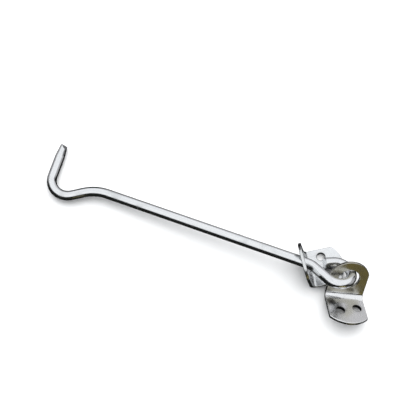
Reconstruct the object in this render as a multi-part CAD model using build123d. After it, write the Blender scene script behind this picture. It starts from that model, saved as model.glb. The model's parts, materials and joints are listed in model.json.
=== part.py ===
from build123d import *
from math import cos, radians, sin, tan
import os

# Cabin hook (gate hook): a bent wire rod with a closed eye and a cranked hook, and two bent
# plates threaded on it. Units mm, +Z up, the set lying at rest on the plane Z = 0, origin at
# the bottom centre of the set's bounding box. The rod's shaft runs along X, with the eye at +X
# and the hook at -X.

# Rod, drawn in its own flat plane: eye centre at the origin, shaft along -X at Y = -EYE_OFFSET,
# hook leg to +Y.
WIRE = 6.0                      # diameter of the round wire
EYE_RADIUS = 8.2                # centre line of the eye
EYE_SPREAD = 29.6               # angle of each strand of the eye to the shaft, degrees
EYE_OFFSET = 0.7                # the eye's centre sits this much to the hook's side of the shaft
EYE_TAIL = 5.5                  # straight length after the eye's arc, up to the cut end
NECK_RADIUS = 8.0               # centre line bend where the eye leaves the shaft
EYE_TWIST = -24.8               # the eye's plane is turned this much about the shaft
REACH = 152.9                   # eye centre to the corner of the crank
CRANK_ANGLE = 34.5              # how far the wire turns away from the shaft at the crank
CRANK_LENGTH = 32.5             # crank corner to hook corner
CRANK_RADIUS = 25.0
HOOK_RADIUS = 11.0              # centre line bend of the hook corner
HOOK_ANGLE = 82.5               # hook leg to the shaft, degrees
LEG_LENGTH = 40.0               # hook corner to the tip
TIP_TAPER = (0.8, 8.0)          # how far the tip narrows, and over what length
TIP_FACET = 60.0                # lean of the cut facet at the tip from square across the wire
TIP_FACET_ROLL = 47.0           # which side it is on: turned about the wire from the top, to the eye
TIP_FACET_OUT = 0.8             # how far from the wire's centre the facet is cut

# Plate: one strip bent across its width, a hook hole in one leaf, two screw holes in the other.
SHEET = 1.8
PLATE_WIDTH = 22.5
BEND_INSIDE = 3.2               # inside radius of the bend
LEAF_ANGLE = 97.0               # inside angle between the two leaves
LEAF_SIDE = 17.0                # straight side of a leaf, from the apex of the bend
HOOK_CROWN = 7.6                # rise of the arc that ends the leaf with the hook hole
SCREW_CROWN = 4.6               # rise of the arc that ends the leaf with the screw holes
HOOK_HOLE = 12.4
HOOK_HOLE_UP = 13.1             # hook hole centre from the apex of the bend
SCREW_HOLE = 5.0
SCREW_HOLE_OUT = 10.8           # mean distance of the screw holes from the apex of the bend
SCREW_HOLE_APART = 10.2         # spacing across the plate
SCREW_HOLE_STAGGER = 2.3        # one hole sits this much nearer the bend than the other
SCREW_HOLE_SHIFT = 1.2          # the pair sits this much off the middle of the plate
CORNER_ROUND = 1.0              # corners of the outline
EDGE_ROUND = 0.4                # edges of the outline and of the hook hole, on both faces

# How the pieces lie at rest.
EYE_HEIGHT = 14.0               # eye centre above the ground
SHAFT_RISE = 3.23               # slope of the shaft up towards the eye, degrees
ROD_ROLL = -2.6                 # roll of the hook's plane about the shaft, laying it on the ground
PIVOT_AT = (8.1, -8.25, 1.4)    # apex of the pivot plate's bend, from under the eye's centre
PIVOT_TURN = (18.6, 9.3, -30.5) # yaw, sideways tilt and pitch of the pivot plate
KEEPER_AT = (-15.95, -0.8, 1.35) # apex of the keeper plate's bend
KEEPER_TURN = (120.8, 5.0, -7.2)


def bend(line, radius, angle):
    """Arc that carries on from the end of a line, turning left for a positive angle."""
    return JernArc(line @ 1, line % 1, radius, angle)


def run_on(arc, length):
    """Straight length that carries on from the end of an arc."""
    return Line(arc @ 1, arc @ 1 + (arc % 1) * length)


def setback(radius, angle):
    """Distance from a corner to where a bend of this radius leaves its straight side."""
    return radius * tan(radians(abs(angle)) / 2)


def eye_path():
    """Centre line of the eye in XY, from its cut end to the start of the shaft."""
    eye = CenterArc((0, 0), EYE_RADIUS, 90 + EYE_SPREAD, -(180 + 2 * EYE_SPREAD))
    cut_end = eye @ 0 - (eye % 0) * EYE_TAIL
    tail = Line(cut_end, eye @ 0)
    spread = radians(EYE_SPREAD)
    to_shaft = (EYE_RADIUS * cos(spread) - EYE_OFFSET) / sin(spread)
    strand = run_on(eye, to_shaft - setback(NECK_RADIUS, EYE_SPREAD))
    neck = bend(strand, NECK_RADIUS, EYE_SPREAD)
    return [tail, eye, strand, neck]


def hook_path(start):
    """Centre line of the shaft, crank and hook in XY, from the end of the neck to the tip."""
    hook_turn = -(CRANK_ANGLE + HOOK_ANGLE)
    shaft = Line(start, (-REACH + setback(CRANK_RADIUS, CRANK_ANGLE), -EYE_OFFSET))
    crank = bend(shaft, CRANK_RADIUS, CRANK_ANGLE)
    cranked = CRANK_LENGTH - setback(CRANK_RADIUS, CRANK_ANGLE) - setback(HOOK_RADIUS, hook_turn)
    arm = run_on(crank, cranked)
    corner = bend(arm, HOOK_RADIUS, hook_turn)
    leg = run_on(corner, LEG_LENGTH - setback(HOOK_RADIUS, hook_turn))
    return [shaft, crank, arm, corner, leg]


def rod_path():
    """Whole centre line, with the eye turned about the shaft out of the plane of the hook."""
    eye = eye_path()
    twist = Pos(Y=-EYE_OFFSET) * Rot(X=EYE_TWIST) * Pos(Y=EYE_OFFSET)
    return Wire([twist * line for line in eye] + hook_path(eye[-1] @ 1))


def hook_rod():
    """Wire swept along the path, its cut end eased and its tip tapered, with a cut facet."""
    path = rod_path()
    start = Plane(origin=path @ 0, z_dir=path % 0)
    rod = sweep(start * Circle(WIRE / 2), path=path)
    cut_end = rod.faces().filter_by(GeomType.PLANE).sort_by(Axis.Y)[0]
    rod = chamfer(cut_end.edges(), WIRE / 12)
    tip_end = rod.faces().filter_by(GeomType.PLANE).sort_by(Axis.Y)[-1]
    rod = chamfer(tip_end.edges(), *TIP_TAPER, reference=tip_end)
    # Facet left by the cutter on the side of the tip that faces the eye.
    tip = Plane(origin=path @ 1, x_dir=(0, 0, 1), z_dir=path % 1)
    cutter = Pos(0, 0, WIRE + TIP_FACET_OUT * sin(radians(TIP_FACET))) * Box(*[2 * WIRE] * 3)
    return rod - tip * Rot(Z=TIP_FACET_ROLL) * Rot(Y=TIP_FACET) * cutter


def leaf(side, crown):
    """Flat leaf in XY growing to +Y from its bend line, with an arc for its free end."""
    half = PLATE_WIDTH / 2
    outline = [
        Line((-half, 0), (half, 0)),
        Line((half, 0), (half, side)),
        ThreePointArc((half, side), (0, side + crown), (-half, side)),
        Line((-half, side), (-half, 0)),
    ]
    return extrude(make_face(outline), SHEET)


def drill(solid, diameter, x, y):
    """Hole through a flat leaf."""
    return solid - Pos(x, y, SHEET / 2) * Cylinder(diameter / 2, 4 * SHEET)


def rounded(solid):
    """The bent plate with its corners and edges eased, except at the screw holes."""
    corners = solid.edges().filter_by(GeomType.LINE).filter_by(lambda edge: edge.length < 1.1 * SHEET)
    solid = fillet(corners, CORNER_ROUND)
    across = solid.edges().filter_by(Axis.X)
    thick = solid.edges().filter_by(GeomType.LINE).filter_by(lambda edge: edge.length < 1.1 * SHEET)
    round_edges = solid.edges().filter_by(GeomType.CIRCLE)
    drilled = round_edges.filter_by(lambda edge: abs(edge.radius - SCREW_HOLE / 2) < 0.01)
    return fillet(solid.edges() - across - thick - drilled, EDGE_ROUND)


def plate():
    """Bent plate: screw leaf flat on XY growing to -Y, hook leaf rising from the bend line."""
    turn = 180 - LEAF_ANGLE
    back = setback(BEND_INSIDE + SHEET / 2, turn)
    flat = LEAF_SIDE - back
    screw_leaf = leaf(flat, SCREW_CROWN)
    for side in (-1, 1):
        out = SCREW_HOLE_OUT + side * SCREW_HOLE_STAGGER / 2 - back
        across = side * SCREW_HOLE_APART / 2 - SCREW_HOLE_SHIFT
        screw_leaf = drill(screw_leaf, SCREW_HOLE, across, out)
    hook_leaf = drill(leaf(flat, HOOK_CROWN), HOOK_HOLE, 0, HOOK_HOLE_UP - back)
    centre_up = BEND_INSIDE + SHEET
    section = make_face([
        CenterArc((0, 0), BEND_INSIDE, -90, turn),
        CenterArc((0, 0), BEND_INSIDE + SHEET, -90, turn),
        Line((0, -BEND_INSIDE), (0, -BEND_INSIDE - SHEET)),
        Line(
            (BEND_INSIDE * sin(radians(turn)), -BEND_INSIDE * cos(radians(turn))),
            (centre_up * sin(radians(turn)), -centre_up * cos(radians(turn))),
        ),
    ])
    curl = Pos(0, 0, centre_up) * extrude(Plane.YZ * section, PLATE_WIDTH / 2, both=True)
    screw_side = Rot(Z=180) * screw_leaf
    hook_side = Pos(0, 0, centre_up) * Rot(X=turn) * Pos(0, 0, -centre_up) * hook_leaf
    whole = rounded(screw_side + curl + hook_side)
    # Origin moves to the apex where the middle surfaces of the two leaves would meet.
    return Pos(0, -back, -SHEET / 2) * whole


def rod_frame():
    """Resting place of the rod's own plane."""
    return Pos(0, 0, EYE_HEIGHT) * Rot(Y=-SHAFT_RISE) * Rot(X=ROD_ROLL)


def plate_frame(apex, turn):
    """Resting place of a plate: apex of its bend, then yaw, sideways tilt and pitch."""
    yaw, tilt, pitch = turn
    return Pos(*apex) * Rot(Z=yaw) * Rot(Y=tilt) * Rot(X=pitch)


def settle(solids):
    """Move that brings the bottom centre of the set's bounding box to the origin."""
    box = Compound(list(solids)).bounding_box()
    middle = box.center()
    return Pos(-middle.X, -middle.Y, -box.min.Z)


def pieces():
    """Every piece at rest, with the origin on the ground under the middle of the set."""
    placed = {
        "hook_rod": rod_frame() * hook_rod(),
        "pivot_plate": plate_frame(PIVOT_AT, PIVOT_TURN) * plate(),
        "keeper_plate": plate_frame(KEEPER_AT, KEEPER_TURN) * plate(),
    }
    shift = settle(placed.values())
    return {name: shift * solid for name, solid in placed.items()}


os.makedirs("parts", exist_ok=True)
for name, solid in pieces().items():
    export_step(solid, f"parts/{name}.step")
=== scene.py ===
import json
from math import cos, radians, sin

import bpy
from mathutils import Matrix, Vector

# Looks for the cabin hook: a bright plated wire hook and two bent sheet plates, lying on white
# paper under a soft overhead dome. Metres, in the CAD frame.

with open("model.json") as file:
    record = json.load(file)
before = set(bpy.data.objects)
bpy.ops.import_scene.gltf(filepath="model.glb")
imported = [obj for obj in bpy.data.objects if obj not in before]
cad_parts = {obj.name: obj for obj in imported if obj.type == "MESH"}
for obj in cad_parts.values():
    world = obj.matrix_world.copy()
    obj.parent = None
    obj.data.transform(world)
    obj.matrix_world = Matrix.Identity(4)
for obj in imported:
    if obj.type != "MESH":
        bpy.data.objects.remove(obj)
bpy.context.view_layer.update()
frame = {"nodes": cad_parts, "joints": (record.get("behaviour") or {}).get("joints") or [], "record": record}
MM = 0.001

# Camera: azimuth 0 looks along +Y, elevation above the horizon.
AZIMUTH = 21.3
ELEVATION = 68.2
DISTANCE = 0.436
AIM_FROM_EYE = (-0.09155, 0.01845)    # the ground point looked at, from under the eye's centre
LENS = 63.6                           # focal length and sensor width, in millimetres
SENSOR = 36.0
NEAREST = 0.01                        # nothing closer to the camera than this is drawn

FLOOR_HALF = 3.0                      # half the side of the paper
PAPER = 0.93                          # how white the paper is

# Key light: a wide sun, on the far side of the set from the camera.
KEY_AZIMUTH = 195
KEY_ELEVATION = 66
KEY_WIDTH = 75                        # how wide the sun looks, in degrees: wider is softer
KEY_ENERGY = 2.4

# Surroundings that the metal reflects: patches of light over a dark ground. Each has the direction
# it lies in, the cosines from that direction where it starts and where it is full, and its colour.
GROUND_COLOUR = (0.012, 0.013, 0.012)
GLOWS = {
    "dome": ((0.0, 0.14, 0.99), 0.395, 0.505, (0.98, 1.0, 1.02)),
    "far": ((0.05, 0.98, 0.17), 0.84, 0.96, (0.60, 0.60, 0.62)),
    "right": ((0.93, 0.34, 0.12), 0.86, 0.97, (0.45, 0.45, 0.46)),
    "left": ((-0.93, 0.34, 0.12), 0.86, 0.97, (0.36, 0.36, 0.37)),
    "warm": ((0.70, -0.70, -0.05), 0.92, 0.985, (0.25, 0.215, 0.095)),
}

# Yaw and sideways tilt of each plate: they give the direction across its strip.
PLATE_TURN = {"pivot_plate": (18.6, 9.3), "keeper_plate": (120.8, 5.0)}
SCREW_HOLE = next(mount for mount in frame["record"]["mounts"] if mount["kind"] == "bore")
SCREW_HOLE_RADIUS = SCREW_HOLE["dims"]["r_mm"] * MM

# Height over the middle of the screw leaf where the painted reflection on the hook leaf starts, and where it
# is full.
PAINTED_REFLECTION_FROM = 3.2 * MM
PAINTED_REFLECTION_FULL = 4.8 * MM

# Painted shade on each plate, a near-black patch standing in for the dark its screw leaf reflects: the screw
# hole it lies by, how far it is from there across the strip and towards the bend, and its size.
SHADE_PATCHES = {
    "pivot_plate": ("pivot_screw_hole_far", -4.4 * MM, 5.8 * MM, 7.4 * MM),
    "keeper_plate": ("keeper_screw_hole_far", 0.0 * MM, -2.0 * MM, 13.0 * MM),
}

# Colours of the metal, linear: wire between two tones, then what lies on it.
WIRE_DARK = (0.79, 0.80, 0.815)
WIRE_LIGHT = (0.88, 0.885, 0.89)
HANDLED = (0.66, 0.675, 0.68)
PIT = (0.35, 0.35, 0.35)

# Sheet: light and dark tone of each plate, the colour of the painted reflection on its hook leaf, and how
# strong that is.
SHEETS = {
    "pivot_plate": ("pivot_sheet", (0.90, 0.90, 0.905), (0.80, 0.80, 0.80), (0.38, 0.36, 0.29), 0.85),
    "keeper_plate": ("keeper_sheet", (0.86, 0.87, 0.88), (0.77, 0.78, 0.79), (0.74, 0.75, 0.74), 0.5),
}
# Near-black colour of the painted shade patch.
SHADE_PATCH_COLOUR = (0.10, 0.10, 0.105)
GRAIN_TONE = (0.5, 0.5, 0.48)
# Colour of the painted shade in a ring round each screw hole.
HOLE_RING_SHADE = (0.3, 0.29, 0.27)
SPECK = (0.36, 0.35, 0.33)
SCRATCHED = (0.9, 0.9, 0.9)
# Colour of the painted shade in the screw holes' walls and edges, standing in for the dark seen through
# them.
BORE_PAINTED_SHADE = (0.05, 0.05, 0.05)


def direction(azimuth, elevation):
    """Unit vector from the object towards a place seen at that azimuth and elevation."""
    a, e = radians(azimuth), radians(elevation)
    return Vector((sin(a) * cos(e), -cos(a) * cos(e), sin(e)))


def add(name, data):
    """New object in the scene."""
    thing = bpy.data.objects.new(name, data)
    bpy.context.scene.collection.objects.link(thing)
    return thing


# Shader node helpers: each adds to a tree and gives back an output socket. A mix node has sockets
# of one name for each kind of data, so the ones for colour are taken by number.
MIX_COLOUR_A = 6
MIX_COLOUR_B = 7
MIX_COLOUR_RESULT = 2


def feed(tree, socket, value):
    """Link an output socket, or set a plain value."""
    if isinstance(value, bpy.types.NodeSocket):
        tree.links.new(value, socket)
    else:
        socket.default_value = value


def calc(tree, operation, a, b=0.0):
    """Arithmetic on one or two numbers."""
    node = tree.nodes.new("ShaderNodeMath")
    node.operation = operation
    feed(tree, node.inputs[0], a)
    feed(tree, node.inputs[1], b)
    return node.outputs[0]


def vector(tree, operation, a, b=None, scale=None):
    """Arithmetic on vectors; gives a number for a dot product or a length."""
    node = tree.nodes.new("ShaderNodeVectorMath")
    node.operation = operation
    feed(tree, node.inputs[0], a)
    if b is not None:
        feed(tree, node.inputs[1], b)
    if scale is not None:
        node.inputs["Scale"].default_value = scale
    return node.outputs["Value" if operation in ("DOT_PRODUCT", "LENGTH") else "Vector"]


def noise(tree, where, scale=1.0, detail=3.0):
    """Noise from 0 to 1, at so many features to the unit of its vector."""
    node = tree.nodes.new("ShaderNodeTexNoise")
    node.inputs["Scale"].default_value = scale
    node.inputs["Detail"].default_value = detail
    tree.links.new(where, node.inputs["Vector"])
    return node.outputs["Fac"]


def remap(tree, value, low, high, to_low, to_high):
    """Smooth step of a number from one range to another, held at both ends."""
    node = tree.nodes.new("ShaderNodeMapRange")
    node.interpolation_type = "SMOOTHSTEP"
    limits = (low, high, to_low, to_high)
    tree.links.new(value, node.inputs["Value"])
    for name, limit in zip(("From Min", "From Max", "To Min", "To Max"), limits):
        node.inputs[name].default_value = limit
    return node.outputs["Result"]


def blend(tree, amount, a, b, kind="MIX"):
    """Colour from a to b, by an amount from 0 to 1."""
    node = tree.nodes.new("ShaderNodeMix")
    node.data_type = "RGBA"
    node.blend_type = kind
    feed(tree, node.inputs["Factor"], amount)
    feed(tree, node.inputs[MIX_COLOUR_A], a)
    feed(tree, node.inputs[MIX_COLOUR_B], b)
    return node.outputs[MIX_COLOUR_RESULT]


def bump(tree, height, depth, under=None):
    """Relief of so many metres for a height from 0 to 1."""
    node = tree.nodes.new("ShaderNodeBump")
    node.inputs["Distance"].default_value = depth
    tree.links.new(height, node.inputs["Height"])
    if under is not None:
        tree.links.new(under, node.inputs["Normal"])
    return node.outputs["Normal"]


def rgba(red, green, blue):
    """Opaque colour, linear."""
    return (red, green, blue, 1.0)


def make_camera():
    """Camera looking down at the set, placed from the eye's centre."""
    camera = add("camera", bpy.data.cameras.new("camera"))
    camera.data.lens = LENS
    camera.data.sensor_width = SENSOR
    camera.data.clip_start = NEAREST
    back = direction(AZIMUTH, ELEVATION)
    eye = next(joint["pos_m"] for joint in frame["joints"] if joint["name"] == "hook_swing")
    aim = Vector((eye[0] + AIM_FROM_EYE[0], eye[1] + AIM_FROM_EYE[1], 0.0))
    camera.location = aim + back * DISTANCE
    camera.rotation_euler = back.to_track_quat("Z", "Y").to_euler()
    bpy.context.scene.camera = camera


def make_floor():
    """White paper. The metal does not reflect it, only the surroundings."""
    mesh = bpy.data.meshes.new("floor")
    half = FLOOR_HALF
    corners = [(-half, -half, 0), (half, -half, 0), (half, half, 0), (-half, half, 0)]
    mesh.from_pydata(corners, [], [(0, 1, 2, 3)])
    floor = add("floor", mesh)
    paper = bpy.data.materials.new("floor_paper")
    paper.use_nodes = True
    shader = paper.node_tree.nodes["Principled BSDF"]
    shader.inputs["Base Color"].default_value = rgba(PAPER, PAPER, PAPER)
    shader.inputs["Roughness"].default_value = 0.9
    shader.inputs["Specular IOR Level"].default_value = 0.1
    mesh.materials.append(paper)
    floor.visible_glossy = False


def glow(tree, ray, towards, start, full, colour):
    """Patch of light round one direction: black outside the cosine start, its colour inside full."""
    amount = remap(tree, vector(tree, "DOT_PRODUCT", ray, towards), start, full, 0.0, 1.0)
    return blend(tree, amount, rgba(0, 0, 0), rgba(*colour))


def make_world():
    """Dome over a dark ground, as the metal sees it; plain white behind the object."""
    world = bpy.data.worlds.new("studio")
    bpy.context.scene.world = world
    world.use_nodes = True
    tree = world.node_tree
    tree.nodes.clear()
    out = tree.nodes.new("ShaderNodeOutputWorld")
    background = tree.nodes.new("ShaderNodeBackground")
    ray = tree.nodes.new("ShaderNodeTexCoord").outputs["Generated"]
    light = tree.nodes.new("ShaderNodeLightPath")
    seen = rgba(*GROUND_COLOUR)
    for towards, start, full, colour in GLOWS.values():
        seen = blend(tree, 1.0, seen, glow(tree, ray, towards, start, full, colour), "LIGHTEN")
    seen = blend(tree, light.outputs["Is Camera Ray"], seen, rgba(1, 1, 1))
    tree.links.new(seen, background.inputs["Color"])
    tree.links.new(background.outputs["Background"], out.inputs["Surface"])


def make_key():
    """Sun from the far side, for the soft shadows; it leaves no highlight on the metal."""
    lamp = bpy.data.lights.new("key", "SUN")
    lamp.energy = KEY_ENERGY
    lamp.angle = radians(KEY_WIDTH)
    key = add("key", lamp)
    towards = direction(KEY_AZIMUTH, KEY_ELEVATION)
    key.rotation_euler = towards.to_track_quat("Z", "Y").to_euler()
    key.visible_glossy = False


def new_material(name):
    """Bare metal material: its node tree and shader."""
    material = bpy.data.materials.new(name)
    material.use_nodes = True
    tree = material.node_tree
    shader = tree.nodes["Principled BSDF"]
    shader.inputs["Metallic"].default_value = 1.0
    return material, tree, shader


def scratches(tree, where, turn, scale):
    """Sparse thin lines from 0 to 1, lying one way in the XY of their vector."""
    mapping = tree.nodes.new("ShaderNodeMapping")
    mapping.inputs["Rotation"].default_value = (0.0, 0.3, radians(turn))
    mapping.inputs["Scale"].default_value = (scale, scale * 22, scale * 4)
    tree.links.new(where, mapping.inputs["Vector"])
    line = noise(tree, mapping.outputs["Vector"], 1.0, 1.0)
    return remap(tree, line, 0.70, 0.75, 0.0, 1.0)


def wire_material():
    """Drawn and plated wire: lines along the wire, handling smudges, small pits."""
    material, tree, shader = new_material("wire")
    position = tree.nodes.new("ShaderNodeTexCoord").outputs["Object"]
    normal = tree.nodes.new("ShaderNodeNewGeometry").outputs["Normal"]
    local = tree.nodes.new("ShaderNodeVectorTransform")
    local.vector_type = "NORMAL"
    local.convert_from, local.convert_to = "WORLD", "OBJECT"
    tree.links.new(normal, local.inputs["Vector"])
    around = local.outputs["Vector"]

    # Slow along the wire and quick round it: position changes little while the normal turns.
    lines = vector(tree, "ADD", vector(tree, "SCALE", position, scale=55.0),
                   vector(tree, "SCALE", around, scale=5.0))
    fine = vector(tree, "ADD", vector(tree, "SCALE", position, scale=140.0),
                  vector(tree, "SCALE", around, scale=26.0))
    streak = noise(tree, lines, 1.0, 4.0)
    drawn = noise(tree, fine, 1.0, 3.0)
    smudge = noise(tree, position, 130.0, 4.0)
    pits = remap(tree, noise(tree, position, 1900.0, 2.0), 0.70, 0.78, 0.0, 1.0)
    scratch = scratches(tree, position, 35.0, 90.0)

    bright = blend(tree, remap(tree, streak, 0.3, 0.7, 0.0, 1.0),
                   rgba(*WIRE_DARK), rgba(*WIRE_LIGHT))
    handled = blend(tree, remap(tree, smudge, 0.5, 0.72, 0.0, 0.5), bright, rgba(*HANDLED))
    colour = blend(tree, pits, handled, rgba(*PIT))
    tree.links.new(colour, shader.inputs["Base Color"])

    polish = remap(tree, streak, 0.3, 0.7, 0.14, 0.24)
    dulled = calc(tree, "ADD", polish, remap(tree, smudge, 0.5, 0.75, 0.0, 0.12))
    rough = calc(tree, "ADD", dulled, calc(tree, "MULTIPLY", pits, 0.2))
    tree.links.new(rough, shader.inputs["Roughness"])

    relief = bump(tree, drawn, 0.006 * MM)
    relief = bump(tree, calc(tree, "SUBTRACT", 1.0, pits), 0.01 * MM, relief)
    relief = bump(tree, scratch, 0.004 * MM, relief)
    relief = bump(tree, smudge, 0.03 * MM, relief)
    tree.links.new(relief, shader.inputs["Normal"])
    return material


def plate_axis(plate):
    """Direction across a plate's strip, parallel to its bend."""
    yaw, tilt = (radians(angle) for angle in PLATE_TURN[plate])
    return Vector((cos(yaw) * cos(tilt), sin(yaw) * cos(tilt), -sin(tilt)))


def screw_holes(plate):
    """Centre and axis of each screw hole of a plate, from the mounts."""
    prefix = plate.split("_")[0] + "_screw_hole"
    mounts = [mount for mount in frame["record"]["mounts"] if mount["name"].startswith(prefix)]
    return [(mount["pos_m"], mount["axis"]) for mount in mounts]


def near_hole(tree, position, holes):
    """Distance from a point to the axis of the nearest screw hole, in metres."""
    gaps = []
    for centre, axis in holes:
        arm = vector(tree, "SUBTRACT", position, centre)
        gaps.append(vector(tree, "LENGTH", vector(tree, "CROSS_PRODUCT", arm, axis)))
    return calc(tree, "MINIMUM", *gaps)


def above_leaf(tree, position, hole):
    """Height of a point above the middle of the screw leaf, on the side the hook leaf rises."""
    centre, axis = (Vector(value) for value in hole)
    return vector(tree, "DOT_PRODUCT", vector(tree, "SUBTRACT", position, centre), axis)


def shade_patch_place(plate):
    """Middle and size of a plate's painted shade patch, which lies across and bendward of a screw hole."""
    hole, sideways, bendward, size = SHADE_PATCHES[plate]
    mounts = {mount["name"]: mount for mount in frame["record"]["mounts"]}
    axis = Vector(mounts[hole]["axis"])
    upward = axis if axis.z > 0 else -axis
    across = plate_axis(plate)
    to_bend = upward.cross(across)
    centre = Vector(mounts[hole]["pos_m"]) + across * sideways + to_bend * bendward
    return centre, size


def shade_patch_mask(tree, position, centre, size, mottle):
    """Painted shade: a dark patch of so many metres across, from 0 to 1, with a mottled edge."""
    gap = vector(tree, "LENGTH", vector(tree, "SUBTRACT", position, centre))
    gap = calc(tree, "ADD", gap, calc(tree, "MULTIPLY", mottle, size / 3))
    return remap(tree, gap, size * 0.28, size * 0.7, 0.95, 0.0)


def sheet_material(plate):
    """Rolled and plated sheet: grain along the strip, mottling, scratches; painted shade in and round the
    screw holes and in a dark patch, and a painted reflection on the hook leaf.
    """
    name, light, dark, leaf_reflection_colour, leaf_reflection_amount = SHEETS[plate]
    material, tree, shader = new_material(name)
    position = tree.nodes.new("ShaderNodeTexCoord").outputs["Object"]
    across = vector(tree, "DOT_PRODUCT", position, plate_axis(plate))
    # Quick across the strip and slow along it, which draws the grain out into lines.
    stretch = tree.nodes.new("ShaderNodeCombineXYZ")
    tree.links.new(calc(tree, "MULTIPLY", across, 1100.0), stretch.inputs["X"])
    along = vector(tree, "ADD", vector(tree, "SCALE", position, scale=35.0), stretch.outputs[0])

    grain = noise(tree, along, 1.0, 4.0)
    fine_grain = noise(tree, along, 4.0, 2.0)
    mottle = noise(tree, position, 170.0, 5.0)
    cloud = noise(tree, position, 65.0, 2.0)
    speckle = remap(tree, noise(tree, position, 2600.0, 1.0), 0.66, 0.76, 0.0, 1.0)
    scratch = scratches(tree, position, 20.0, 110.0)
    cross_scratch = scratches(tree, position, 110.0, 80.0)
    marks = calc(tree, "MAXIMUM", scratch, cross_scratch)
    holes = screw_holes(plate)
    facing_up = next((centre, axis) for centre, axis in holes if axis[2] > 0)
    height = above_leaf(tree, position, facing_up)
    height = calc(tree, "ADD", height, calc(tree, "MULTIPLY", cloud, 1.0 * MM))
    # Painted reflection: where the hook leaf rises above the screw leaf, its colour is tinted towards a
    # warmer or darker tone, standing in for the surroundings it mirrors.
    painted_reflection = remap(tree, height, PAINTED_REFLECTION_FROM, PAINTED_REFLECTION_FULL, 0.0, leaf_reflection_amount)
    hole = near_hole(tree, position, holes)
    # Painted shade: a dark patch by a screw hole, standing in for the dark the polished leaf reflects there.
    shade_patch = shade_patch_mask(tree, position, *shade_patch_place(plate), mottle)
    # Painted shade: the walls and edges of the screw holes are darkened as if seen into shadow; the same
    # mask makes them rougher.
    bore = remap(tree, hole, SCREW_HOLE_RADIUS + 0.05 * MM, SCREW_HOLE_RADIUS + 0.35 * MM, 1.0, 0.0)
    # Painted shade: a mottled darker ring round each screw hole, fading out over 2.2 mm.
    hole_ring_shade = remap(tree, hole, SCREW_HOLE_RADIUS, SCREW_HOLE_RADIUS + 2.2 * MM, 0.35, 0.0)

    base = blend(tree, remap(tree, cloud, 0.35, 0.65, 0.0, 1.0), rgba(*light), rgba(*dark))
    layers = (
        (remap(tree, mottle, 0.45, 0.7, 0.0, 0.35), dark),
        # painted reflection on the hook leaf
        (painted_reflection, leaf_reflection_colour),
        # painted shade patch
        (shade_patch, SHADE_PATCH_COLOUR),
        (remap(tree, grain, 0.5, 0.75, 0.0, 0.3), GRAIN_TONE),
        # painted shade round the screw holes
        (calc(tree, "MULTIPLY", hole_ring_shade, mottle), HOLE_RING_SHADE),
        (calc(tree, "MULTIPLY", speckle, 0.5), SPECK),
        (calc(tree, "MULTIPLY", marks, 0.35), SCRATCHED),
        # painted shade in the screw holes
        (bore, BORE_PAINTED_SHADE),
    )
    for amount, colour in layers:
        base = blend(tree, amount, base, rgba(*colour))
    tree.links.new(base, shader.inputs["Base Color"])

    rough = remap(tree, mottle, 0.35, 0.7, 0.19, 0.30)
    rough = calc(tree, "ADD", rough, remap(tree, grain, 0.4, 0.7, -0.03, 0.06))
    rough = calc(tree, "ADD", rough, calc(tree, "MULTIPLY", bore, 0.25))
    tree.links.new(rough, shader.inputs["Roughness"])

    relief = bump(tree, grain, 0.006 * MM)
    relief = bump(tree, fine_grain, 0.002 * MM, relief)
    relief = bump(tree, cloud, 0.025 * MM, relief)
    relief = bump(tree, calc(tree, "SUBTRACT", 1.0, speckle), 0.003 * MM, relief)
    relief = bump(tree, calc(tree, "SUBTRACT", 1.0, marks), 0.005 * MM, relief)
    tree.links.new(relief, shader.inputs["Normal"])
    return material


def dress(node, material):
    """Give a CAD node its material."""
    thing = frame["nodes"][node]
    thing.data.materials.clear()
    thing.data.materials.append(material)


make_camera()
make_floor()
make_world()
make_key()
bpy.context.scene.view_settings.view_transform = "Standard"
dress("hook_rod", wire_material())
for plate in SHEETS:
    dress(plate, sheet_material(plate))
